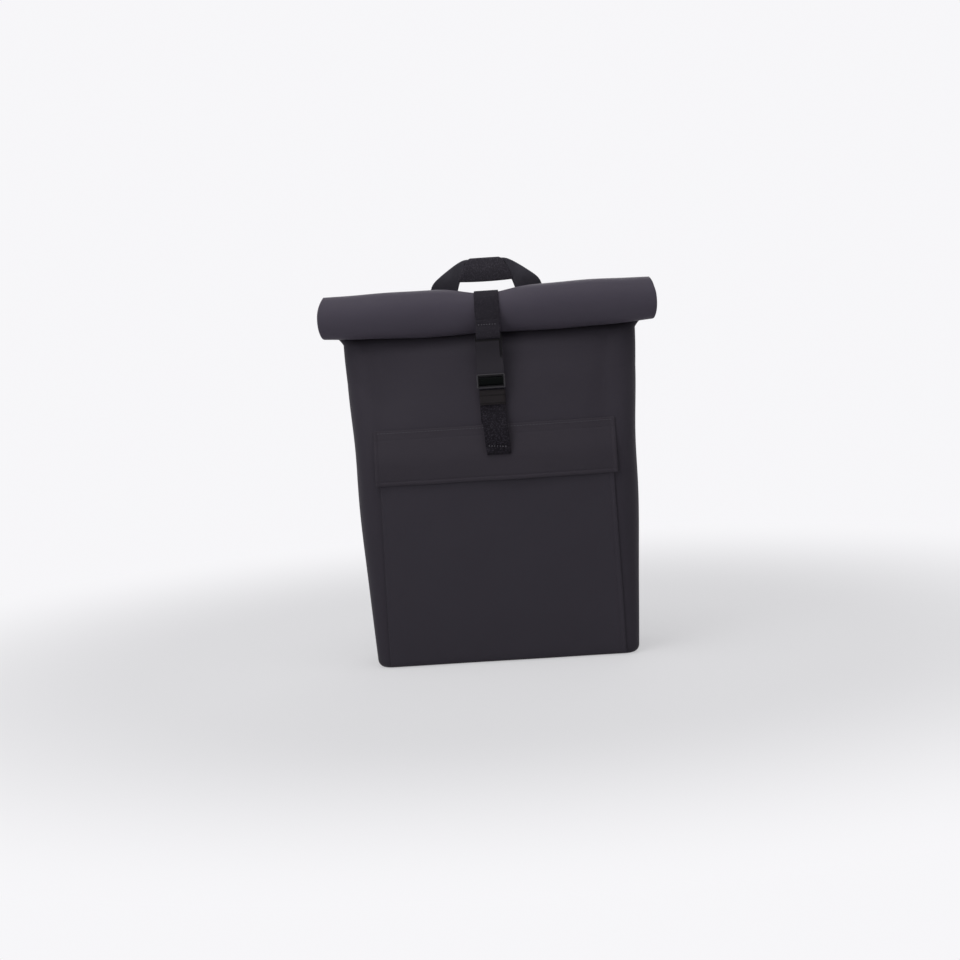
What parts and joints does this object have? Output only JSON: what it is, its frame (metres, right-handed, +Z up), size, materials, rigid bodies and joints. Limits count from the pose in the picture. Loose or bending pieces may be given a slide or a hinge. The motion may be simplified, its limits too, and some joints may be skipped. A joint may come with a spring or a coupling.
{
  "type": "pannier bag",
  "caption": "Roll-top bicycle pannier bag with a flap pocket, a webbing strap with a flat hook, a carry handle and latching rack hooks on its back.",
  "frame": {"origin": "centre of the bounding box at the ground, under the base", "axes": "+Z up, +X to the right seen from the front, +Y to the back where the rack hooks are"},
  "size_m": [0.434, 0.1648, 0.5155],
  "materials": {
    "bag_fabric": "matt coated woven",
    "flap_fabric": "matt coated woven",
    "webbing": "herringbone polyester webbing",
    "elastic": "ribbed elastic",
    "fastener_tape": "hook and loop tape",
    "hook_metal": "satin black",
    "bar_metal": "dark polished",
    "black_plastic": "fine grained",
    "rubber_insert": "matt",
    "rail_metal": "anodised",
    "steel": "zinc plated",
    "board": "sheet"
  },
  "bodies": {
    "bag": {"front_panel": "bag_fabric", "back_panel": "bag_fabric", "side_gusset_left": "bag_fabric", "side_gusset_right": "bag_fabric", "base_panel": "bag_fabric", "closure_collar": "bag_fabric", "roll_top": "bag_fabric", "mouth_stiffener": "board", "back_board": "board", "base_board": "board", "pocket_panel": "bag_fabric", "pocket_loop_tape": "fastener_tape", "flap_hem": "flap_fabric", "closure_strap": "webbing", "closure_hook": "hook_metal", "strap_bar": "bar_metal", "lower_strap": "webbing", "strap_keeper": "elastic", "upper_rail": "rail_metal", "lower_rail": "rail_metal", "rail_screws": "steel", "rail_washers": "steel", "rack_hook_left": "black_plastic", "rack_hook_right": "black_plastic", "tube_insert_left": "rubber_insert", "tube_insert_right": "rubber_insert", "latch_pin_left": "steel", "latch_pin_right": "steel"},
    "handle": {"handle_grip": "webbing", "handle_leg_left": "webbing", "handle_leg_right": "webbing"},
    "latch_l": {"latch_left": "black_plastic"},
    "latch_r": {"latch_right": "black_plastic"},
    "flap": {"pocket_flap": "flap_fabric", "flap_hook_tape": "fastener_tape"},
    "tail": {"strap_tail": "webbing"},
    "carriage": {"lower_carriage": "black_plastic"},
    "strut_hook": {"lower_hook": "black_plastic"}
  },
  "joints": [
    {"name": "handle_lift", "type": "slide", "parent": "bag", "child": "handle", "axis": [0, 0, 1], "range_m": [0, 0.00497]},
    {"name": "latch_left_open", "type": "hinge", "parent": "bag", "child": "latch_l", "pos_m": [-0.072, 0.05643, 0.434], "axis": [-1, 0, 0], "range_deg": [0, 20], "stiffness_Nm_per_rad": 0.05},
    {"name": "latch_right_open", "type": "hinge", "parent": "bag", "child": "latch_r", "pos_m": [0.072, 0.05643, 0.434], "axis": [-1, 0, 0], "range_deg": [0, 20], "stiffness_Nm_per_rad": 0.05},
    {"name": "flap_lift", "type": "hinge", "parent": "bag", "child": "flap", "pos_m": [0, -0.06474, 0.301], "axis": [-1, 0, 0], "range_deg": [0, 90]},
    {"name": "tail_lift", "type": "hinge", "parent": "bag", "child": "tail", "pos_m": [0, -0.06336, 0.33015], "axis": [-1, 0, 0], "range_deg": [0, 72]},
    {"name": "strut_hook_slide", "type": "slide", "parent": "bag", "child": "carriage", "axis": [1, 0, 0], "range_m": [-0.075, 0.075]},
    {"name": "strut_hook_turn", "type": "hinge", "parent": "carriage", "child": "strut_hook", "pos_m": [0, 0.05192, 0.099], "axis": [0, 1, 0], "range_deg": [-90, 90]}
  ],
  "couplings": [
    {"joint": "latch_left_open", "follows": "handle_lift", "rad_per_m": 70.118},
    {"joint": "latch_right_open", "follows": "handle_lift", "rad_per_m": 70.118},
    {"joint": "tail_lift", "follows": "flap_lift", "ratio": 0.8}
  ]
}
